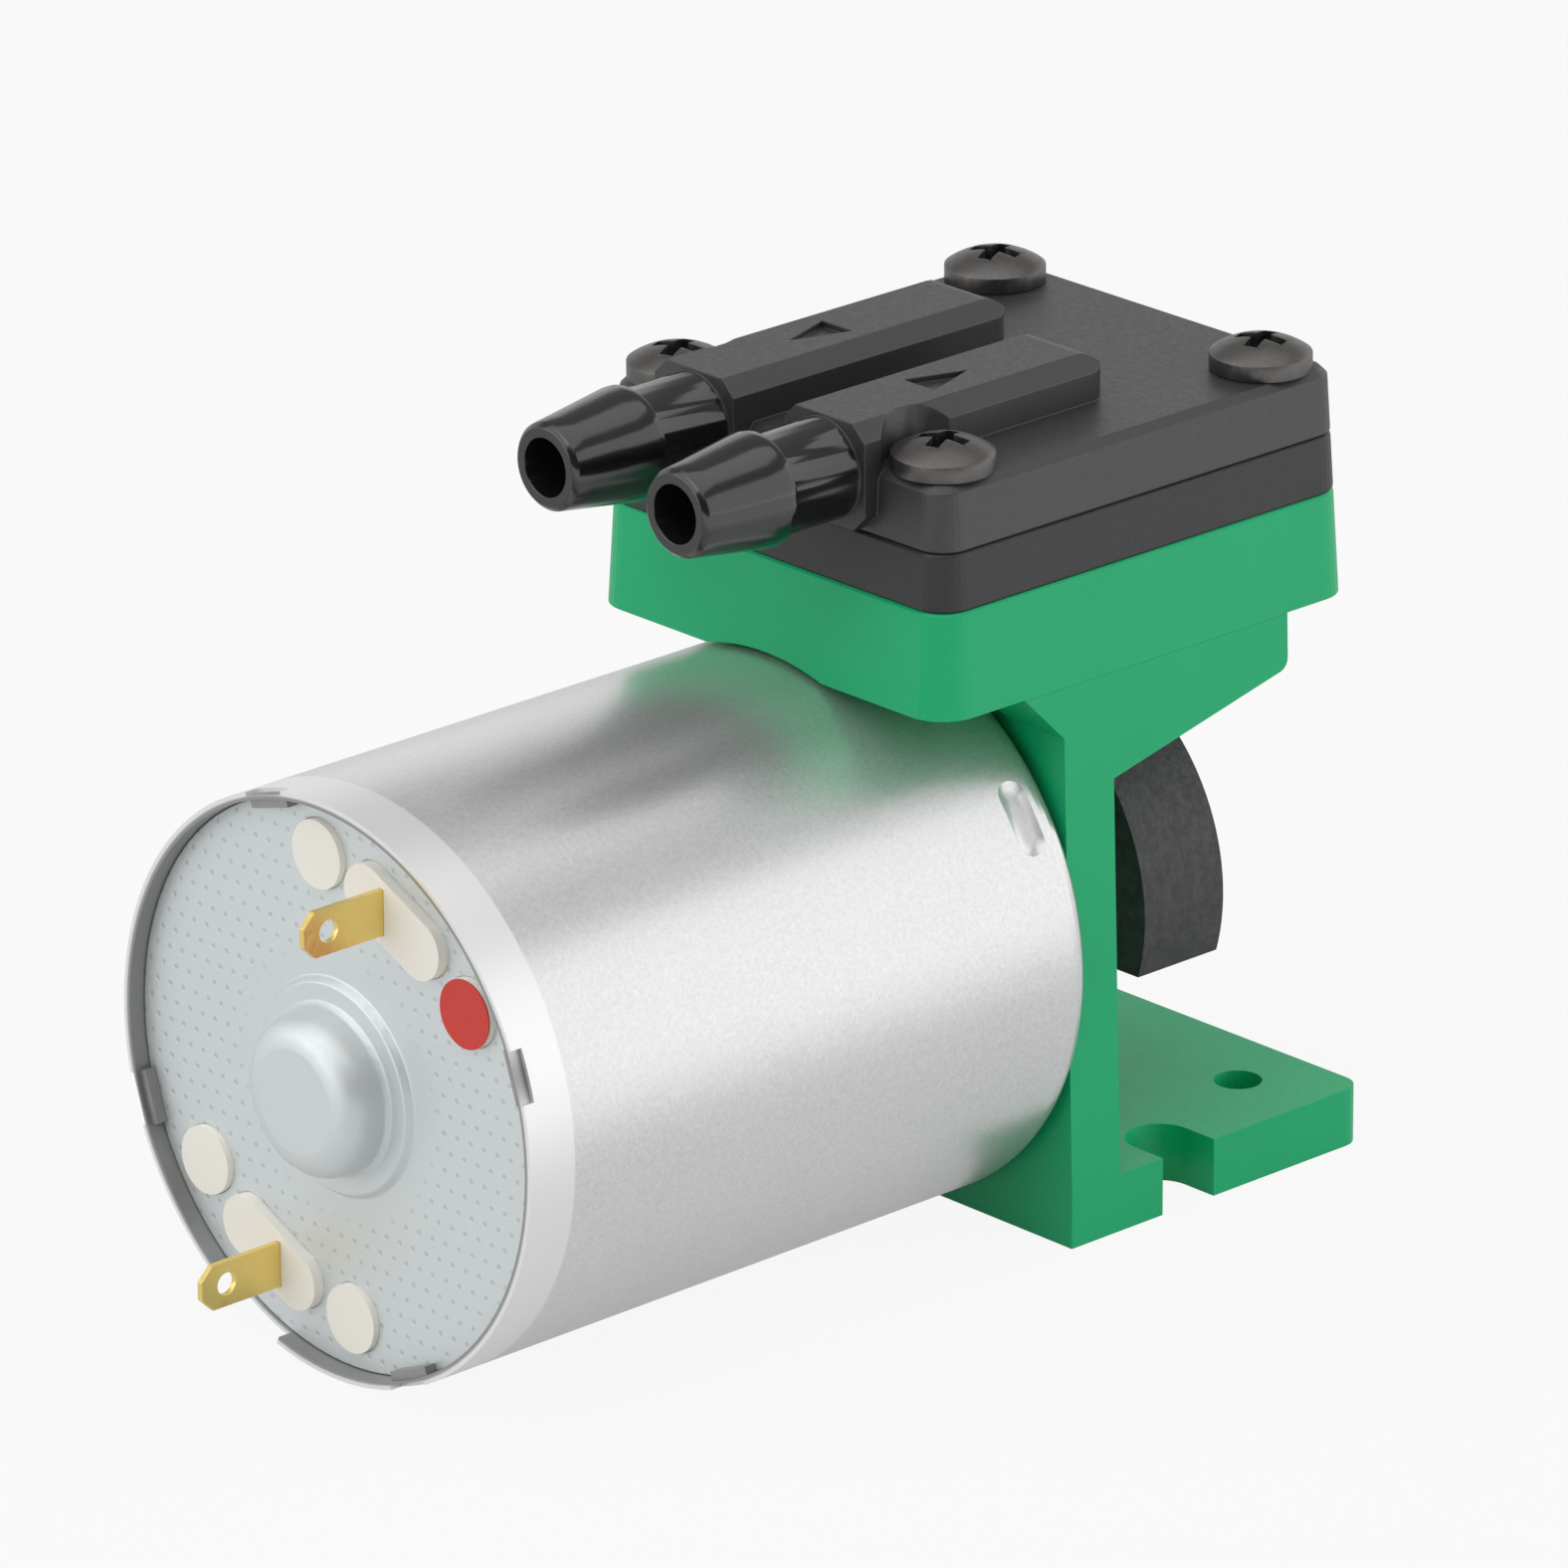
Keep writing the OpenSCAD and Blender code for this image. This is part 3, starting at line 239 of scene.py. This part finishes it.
def moulded(name, colour, rough, grain, depth, specular=0.5, drift=0.12):
    """Plastic with a slow drift of colour and shine and a fine moulded skin."""
    s = Surface(name, colour, rough, specular=specular)
    slow = s.noise(7, 2)
    s.colour(s.blend(slow, shade(colour, 1 - drift), shade(colour, 1 + drift)))
    fine = s.noise(grain, 4)
    s.rough(s.spread(fine, rough * 0.88, rough * 1.12))
    s.bump(fine, depth)
    return s


green = moulded("green_plastic", (0.004, 0.45, 0.173), 0.38, 0.55, 0.004, specular=0.36,
                drift=0.05)


def part_line(s, height, half_width):
    """A fine raised line on the sides, where two halves of the tool met."""
    _, y, z = s.axes()
    off = s.calc("ABSOLUTE", s.calc("SUBTRACT", z, height))
    ridge = s.fit(off, LINE_FADE, LINE_HALF_WIDTH, smooth=True)
    side = s.fit(s.calc("ABSOLUTE", y), half_width - 0.5, half_width - 0.3)
    s.bump(s.calc("MULTIPLY", ridge, side), LINE_HEIGHT)


part_line(green, SLAB_BOTTOM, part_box("bracket")[1][1] / MM - SIDE_DRAFT)
wear("bracket", surface=green)

black = moulded("black_plastic", BLACK, 0.46, 0.28, 0.006)
wear("valve_plate", surface=black)


def cover_surface():
    """Matt grained cover whose barbs are polished."""
    s = Surface("cover_plastic", BLACK, 0.42, specular=0.8)
    x = s.axes()[0]
    barb = s.fit(x, RIB_PLANE - 0.05, RIB_PLANE - 0.25)
    grain = s.noise(0.28, 4)
    streak = s.noise(2.2, 2, stretch=(0.25, 1, 1))
    matt = s.spread(grain, 0.40, 0.52)
    shiny = s.spread(streak, 0.12, 0.20)
    s.rough(s.mix(barb, matt, shiny))
    s.colour(s.blend(barb, BLACK, POLISHED_BLACK))
    s.bump(s.calc("MULTIPLY", grain, s.calc("SUBTRACT", 1.0, barb)), 0.006)
    return s


wear("head_cover", surface=cover_surface())

cream = moulded("cream_plastic", (0.95, 0.92, 0.84), 0.45, 0.4, 0.003, drift=0.02)
wear("brush_holder", surface=cream)

white = moulded("white_plastic", (0.72, 0.71, 0.67), 0.42, 0.5, 0.004, drift=0.05)
wear("connecting_rod", "thrust_washers", "bearing_cage", surface=white)

paint = moulded("red_paint", (0.66, 0.035, 0.02), 0.35, 0.5, 0.02)
wear("polarity_mark", surface=paint)
print("plastics:", len(surfaces))

# %% [markdown]
# ## Rubber and carbon
# Rubber is dark and dull with a dusty bloom, so its shine is low and its colour drifts towards
# grey. Carbon brushes are pressed powder: nearly black, with fine pores and a faint sparkle.

# %% Rubber and carbon


def rubber(name, colour, rough=0.75):
    """Dull rubber with a dusty bloom."""
    s = Surface(name, colour, rough, specular=0.3)
    bloom = s.noise(3, 4)
    s.colour(s.blend(s.fit(bloom, 0.4, 0.75), colour, shade(colour, 1.5)))
    pores = s.noise(0.15, 3)
    s.bump(pores, 0.01)
    return s


wear("diaphragm", surface=rubber("black_rubber", (0.025, 0.025, 0.026)))
wear("inlet_flap", "outlet_flap", surface=rubber("grey_rubber", (0.17, 0.165, 0.155)))
wear("port_seals", surface=rubber("brown_rubber", (0.07, 0.045, 0.035)))

carbon = rubber("carbon", (0.03, 0.03, 0.031), 0.5)
carbon.shader.inputs["Metallic"].default_value = 0.3
wear("brushes", surface=carbon)
print("rubbers done")

# %% [markdown]
# ## Steel, brass and iron
# The can is drawn from zinc-plated sheet: a pale grey metal with a fine speckle, and a smooth
# bright strip at its rear end where the rim was sized. The speckle is noise in the colour and
# the shine. As height it would need grains finer than a pixel, which render as stray dots, so
# the height has only a broad orange-peel. The strip is a step along X. The bore inside the rim
# is darker in the colour, as painted shade. The end plate is the same steel, punched with rows
# of tiny dents by the tool that stamped it, which a repeating pattern draws in its height; the
# dents are also darker in the colour, as painted shade. Shaft and bearings are turned, so their
# noise is stretched.

# %% Metals
CAN_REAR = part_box("motor_can")[0][0] / MM
CAN_RADIUS = (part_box("motor_can")[1][1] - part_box("motor_can")[0][1]) / 2 / MM
MOTOR_AXIS = (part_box("motor_can")[0][2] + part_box("motor_can")[1][2]) / 2 / MM
STRIP_LENGTH = 3.4
STRIP_ROUGHNESS = 0.42
SPECKLE_GRAIN = 0.26
PEEL_GRAIN = 0.45
PEEL_HEIGHT = 0.0045
RIM_WALL = 0.35
DENT_PITCH = 1.15
DENT_DEPTH = 0.025
DENT_BOTTOM, DENT_EDGE = 0.05, 0.22    # radii, in pitches
PLAIN_RADIUS = 8.0


def metal(name, colour, rough, grain=0.3, depth=0.003, stretch=(1, 1, 1), drift=0.06):
    """Metal whose shine and height vary with a fine grain."""
    s = Surface(name, colour, rough, metal=1.0)
    slow = s.noise(6, 2)
    s.colour(s.blend(slow, shade(colour, 1 - drift), shade(colour, 1 + drift)))
    fine = s.noise(grain, 4, stretch)
    s.rough(s.spread(fine, rough * 0.8, rough * 1.2))
    s.bump(fine, depth)
    return s


def from_axis(s, y, z):
    """Distance of a point from the motor's axis, in millimetres."""
    return s.length(y, s.calc("SUBTRACT", z, MOTOR_AXIS))


def can_surface():
    """Zinc-plated sheet with a smooth strip round the rear end, and painted shade in the bore.
    """
    s = Surface("zinc_plate", (0.80, 0.80, 0.795), 0.26, metal=0.75)
    x, y, z = s.axes()
    edge = CAN_REAR + STRIP_LENGTH
    strip = s.fit(x, edge + 0.06, edge - 0.06)
    speckle = s.noise(SPECKLE_GRAIN, 2)
    cloud = s.noise(5, 3)
    satin = s.fit(speckle, 0.2, 0.8, 0.29, 0.34)
    s.rough(s.mix(strip, satin, STRIP_ROUGHNESS))
    base = s.blend(s.fit(speckle, 0.2, 0.8), (0.61, 0.615, 0.615), (0.77, 0.77, 0.765))
    base = s.blend(s.calc("MULTIPLY", cloud, 0.3), base, (0.79, 0.80, 0.81))
    base = s.blend(strip, base, (0.86, 0.86, 0.855))
    # Painted shade: the bore inside the rim is darkened in the colour, where the rim's inner
    # wall lies in shade.
    painted_bore_shade = s.fit(from_axis(s, y, z), CAN_RADIUS - RIM_WALL + 0.15, CAN_RADIUS - RIM_WALL)
    s.colour(s.blend(painted_bore_shade, base, (0.34, 0.34, 0.335)))
    peel = s.noise(PEEL_GRAIN, 0)
    s.bump(s.calc("MULTIPLY", peel, s.calc("SUBTRACT", 1.0, strip)), PEEL_HEIGHT)
    return s


wear("motor_can", surface=can_surface())


def end_plate_surface():
    """Blue-grey plated steel with rows of tiny dents, darkened in the colour as painted shade.
    """
    s = Surface("dented_plate", (0.63, 0.67, 0.68), 0.5, metal=0.7)
    _, y, z = s.axes()
    row = s.calc("DIVIDE", z, DENT_PITCH)
    shift = s.calc("MULTIPLY", s.calc("FLOORED_MODULO", s.calc("FLOOR", row), 2.0), 0.5)
    across = s.calc("FRACT", s.calc("ADD", s.calc("DIVIDE", y, DENT_PITCH), shift))
    up = s.calc("FRACT", row)
    far = s.length(s.calc("SUBTRACT", across, 0.5), s.calc("SUBTRACT", up, 0.5))
    clear = s.fit(from_axis(s, y, z), PLAIN_RADIUS + 1, PLAIN_RADIUS)
    dent_height_and_shade = s.calc("MAXIMUM", s.fit(far, DENT_BOTTOM, DENT_EDGE, smooth=True), clear)
    grain = s.noise(0.25, 3)
    # Painted shade: the dents are darker in the colour than the flat plate.
    s.colour(s.blend(dent_height_and_shade, (0.58, 0.62, 0.63), (0.70, 0.74, 0.75)))
    s.rough(s.spread(grain, 0.46, 0.58))
    s.bump(grain, 0.002)
    s.bump(dent_height_and_shade, DENT_DEPTH)
    return s


wear("end_plate", surface=end_plate_surface())

bright = metal("bright_steel", (0.62, 0.63, 0.64), 0.24, stretch=(0.2, 1, 1))
wear("motor_shaft", "motor_screws", "bearing_inner_ring", "bearing_balls", "bearing_outer_ring",
     "diaphragm_washer", "diaphragm_screw", surface=bright)

nickel = metal("black_nickel", (0.13, 0.125, 0.12), 0.42, depth=0.004, drift=0.15)
wear("head_screws", "weight_screw", surface=nickel)

brass = metal("brass", (0.90, 0.70, 0.24), 0.36, grain=0.35)
wear("terminal_tabs", surface=brass)

copper = metal("copper_alloy", (0.72, 0.38, 0.20), 0.30, stretch=(0.2, 1, 1))
wear("commutator", "brush_arms", surface=copper)

bronze = metal("sintered_bronze", (0.42, 0.29, 0.15), 0.48, grain=0.12, depth=0.008)
wear("front_bush", "rear_bush", surface=bronze)

sheet = metal("core_steel", (0.22, 0.225, 0.23), 0.42, grain=0.5, stretch=(1.2, 0.02, 0.02))
wear("armature_core", surface=sheet)

spring = metal("spring_steel", (0.45, 0.45, 0.44), 0.30)
wear("magnet_clips", surface=spring)

ferrite = metal("ferrite", (0.07, 0.068, 0.07), 0.62, grain=0.15, depth=0.006)
ferrite.shader.inputs["Metallic"].default_value = 0.2
wear("magnets", surface=ferrite)


def iron_surface():
    """Black sintered iron with a mottled skin."""
    s = Surface("black_iron", (0.030, 0.030, 0.032), 0.58, metal=0.1, specular=0.7)
    mottle = s.noise(0.8, 5)
    s.colour(s.blend(s.fit(mottle, 0.35, 0.68), (0.021, 0.021, 0.023), (0.048, 0.048, 0.052)))
    skin = s.noise(0.3, 4)
    s.rough(s.spread(skin, 0.46, 0.66))
    s.bump(skin, 0.025)
    return s


wear("counterweight", surface=iron_surface())


WIRE_PITCH = 0.35


def wire_surface():
    """Enamelled copper wire, wound side by side, with painted shade between the turns."""
    s = Surface("enamelled_wire", (0.42, 0.13, 0.035), 0.24, metal=0.7)
    _, y, z = s.axes()
    wire_height_and_shade = s.calc("SINE", s.calc("MULTIPLY", s.calc("ADD", y, z), 2 * math.pi / WIRE_PITCH))
    # Painted shade and highlight: the colour is darker between the turns and lighter on their
    # crests.
    s.colour(s.blend(s.fit(wire_height_and_shade, -1, 1), (0.25, 0.07, 0.02), (0.50, 0.17, 0.05)))
    s.bump(wire_height_and_shade, 0.04)
    return s


wear("armature_winding", surface=wire_surface())
bare = [name for name in nodes if not any(name in group for group in surfaces.values())]
print("surfaces:", len(surfaces), "nodes without one:", bare)

# %% [markdown]
# ## Softened edges
# A moulded or stamped piece has no knife edges: each one is rounded by a tenth or two of a
# millimetre, and that thin round catches a line of light. A bevel modifier adds it without
# touching the CAD mesh. The mesh is welded and its flat faces joined first, so that the bevel
# follows the real edges and not the triangles.

# %% Soft edges
EDGE_WIDTHS = {
    "bracket": 0.22, "valve_plate": 0.16, "head_cover": 0.22,
    "end_plate": 0.10, "brush_holder": 0.16, "terminal_tabs": 0.05,
    "head_screws": 0.10, "connecting_rod": 0.15, "motor_screws": 0.08, "diaphragm_washer": 0.08,
}
EDGE_ANGLE = math.radians(32)


def soften(name, width):
    """Round the edges of a CAD node with modifiers."""
    o = nodes[name]
    weld = o.modifiers.new("weld", "WELD")
    weld.merge_threshold = 0.002 * MM
    flat = o.modifiers.new("flat", "DECIMATE")
    flat.decimate_type = "DISSOLVE"
    flat.angle_limit = math.radians(0.3)
    round_ = o.modifiers.new("round", "BEVEL")
    round_.width = width * MM
    round_.segments = 2
    round_.limit_method = "ANGLE"
    round_.angle_limit = EDGE_ANGLE
    round_.miter_outer = "MITER_ARC"
    round_.harden_normals = True


for name, width in EDGE_WIDTHS.items():
    soften(name, width)
print("softened:", len(EDGE_WIDTHS))

# %% [markdown]
# ## Studio
# The photograph is a cut-out on white under soft light. A long lamp at the right front lights
# the can's side, one overhead lights the head, and one at the left rear lights the end plate.
# The world gives an even fill. The floor and backdrop are seen by the camera as near white with
# a faint shadow, which needs no extra light: the floor mixes its lit colour with a plain white
# for camera rays. Shiny pieces mirror the room, and bare metal looks flat in a white one. So in
# reflections the ceiling is grey, the wall behind the long lamp is dark and the floor in front
# is bright, which draws the light and dark bands along the can.

# %% Studio
FLOOR_HALF = 2.0
PAPER = 0.975
FILL = 0.28
CEILING = 0.36
SHADE = 0.12
GLOW = 1.25
GLOW_NEAR = -45
GLOW_FAR = -110
CAMERA_SHARE = 0.93
MIRROR_SHARE = 0.40
# Where the parts of the mirrored room meet: Z or Y of the direction that a ray takes.
BACK_EDGE = (0.36, 0.56)
FRONT_EDGE = (0.50, 0.62)
SIDE_EDGE = (-0.30, 0.05)
MIDDLE = (-0.02, 0, 0.03)
LAMPS = {
    "key": ((0.65, -0.62, 0.33), 1.80, 0.72, 5.0),
    "top": ((-0.10, -0.10, 0.80), 1.10, 1.10, 3.9),
    "left": ((-0.80, 0.25, 0.50), 1.10, 1.10, 4.3),
}


def add_floor():
    """A large pale floor at the foot's underside."""
    mesh = bpy.data.meshes.new("floor")
    h = FLOOR_HALF
    mesh.from_pydata([(-h, -h, 0), (h, -h, 0), (h, h, 0), (-h, h, 0)], [], [(0, 1, 2, 3)])
    floor = bpy.data.objects.new("floor", mesh)
    bpy.context.scene.collection.objects.link(floor)
    s = Surface("floor_paper", (0.66, 0.66, 0.66), 0.9, specular=0.1)
    fibre = s.noise(0.8, 4)
    s.colour(s.blend(fibre, (0.64, 0.64, 0.64), (0.68, 0.68, 0.68)))
    path = s.add("ShaderNodeLightPath")
    seen = s.add("ShaderNodeEmission")
    seen.inputs["Color"].default_value = WHITE
    mix = s.add("ShaderNodeMixShader")
    y = s.axes()[1]
    glossy = path.outputs["Is Glossy Ray"]
    glow = s.calc("MULTIPLY", glossy, s.fit(y, GLOW_NEAR, GLOW_FAR, smooth=True))
    s.put(seen.inputs["Strength"], s.fit(glow, 0, 1, PAPER, GLOW))
    camera_share = s.calc("MULTIPLY", path.outputs["Is Camera Ray"], CAMERA_SHARE)
    glossy_share = s.fit(glow, 0, 1, s.calc("MULTIPLY", glossy, MIRROR_SHARE), 1.0)
    share = s.calc("MAXIMUM", camera_share, glossy_share)
    s.link(share, mix.inputs[0])
    s.link(s.shader.outputs[0], mix.inputs[1])
    s.link(seen.outputs[0], mix.inputs[2])
    out = s.tree.nodes["Material Output"]
    s.link(mix.outputs[0], out.inputs[0])
    mesh.materials.append(s.material)


def add_lamp(name, place, width, height, watts):
    """A soft rectangular lamp that faces the middle of the pump."""
    data = bpy.data.lights.new(name, "AREA")
    data.shape = "RECTANGLE"
    data.size = width
    data.size_y = height
    data.energy = watts
    light = bpy.data.objects.new(name, data)
    light.location = place
    facing = Vector(MIDDLE) - Vector(place)
    light.rotation_euler = facing.to_track_quat("-Z", "Y").to_euler()
    bpy.context.scene.collection.objects.link(light)


def light_world():
    """An even fill. The camera sees it as white, and shiny pieces see a room round it."""
    world = bpy.data.worlds.new("studio")
    bpy.context.scene.world = world
    world.use_nodes = True
    tree = world.node_tree
    back = tree.nodes["Background"]
    back.inputs["Color"].default_value = WHITE
    path = tree.nodes.new("ShaderNodeLightPath")
    place = tree.nodes.new("ShaderNodeTexCoord")
    split = tree.nodes.new("ShaderNodeSeparateXYZ")
    tree.links.new(place.outputs["Generated"], split.inputs[0])

    def between(value, low, high, to_low, to_high, kind="LINEAR"):
        node = tree.nodes.new("ShaderNodeMapRange")
        node.interpolation_type = kind
        for socket, number in zip(node.inputs, (value, low, high, to_low, to_high)):
            if hasattr(number, "links"):
                tree.links.new(number, socket)
            else:
                socket.default_value = number
        return node.outputs[0]

    behind = between(split.outputs[2], *BACK_EDGE, PAPER, CEILING, "SMOOTHSTEP")
    in_front = between(split.outputs[2], *FRONT_EDGE, SHADE, CEILING, "SMOOTHSTEP")
    room = between(split.outputs[1], *SIDE_EDGE, in_front, behind, "SMOOTHSTEP")
    mirrored = between(path.outputs["Is Glossy Ray"], 0, 1, FILL, room)
    seen = between(path.outputs["Is Camera Ray"], 0, 1, mirrored, PAPER)
    tree.links.new(seen, back.inputs["Strength"])


add_floor()
light_world()
for name, (place, width, height, watts) in LAMPS.items():
    add_lamp(name, place, width, height, watts)
scene = bpy.context.scene
scene.view_settings.view_transform = "Standard"
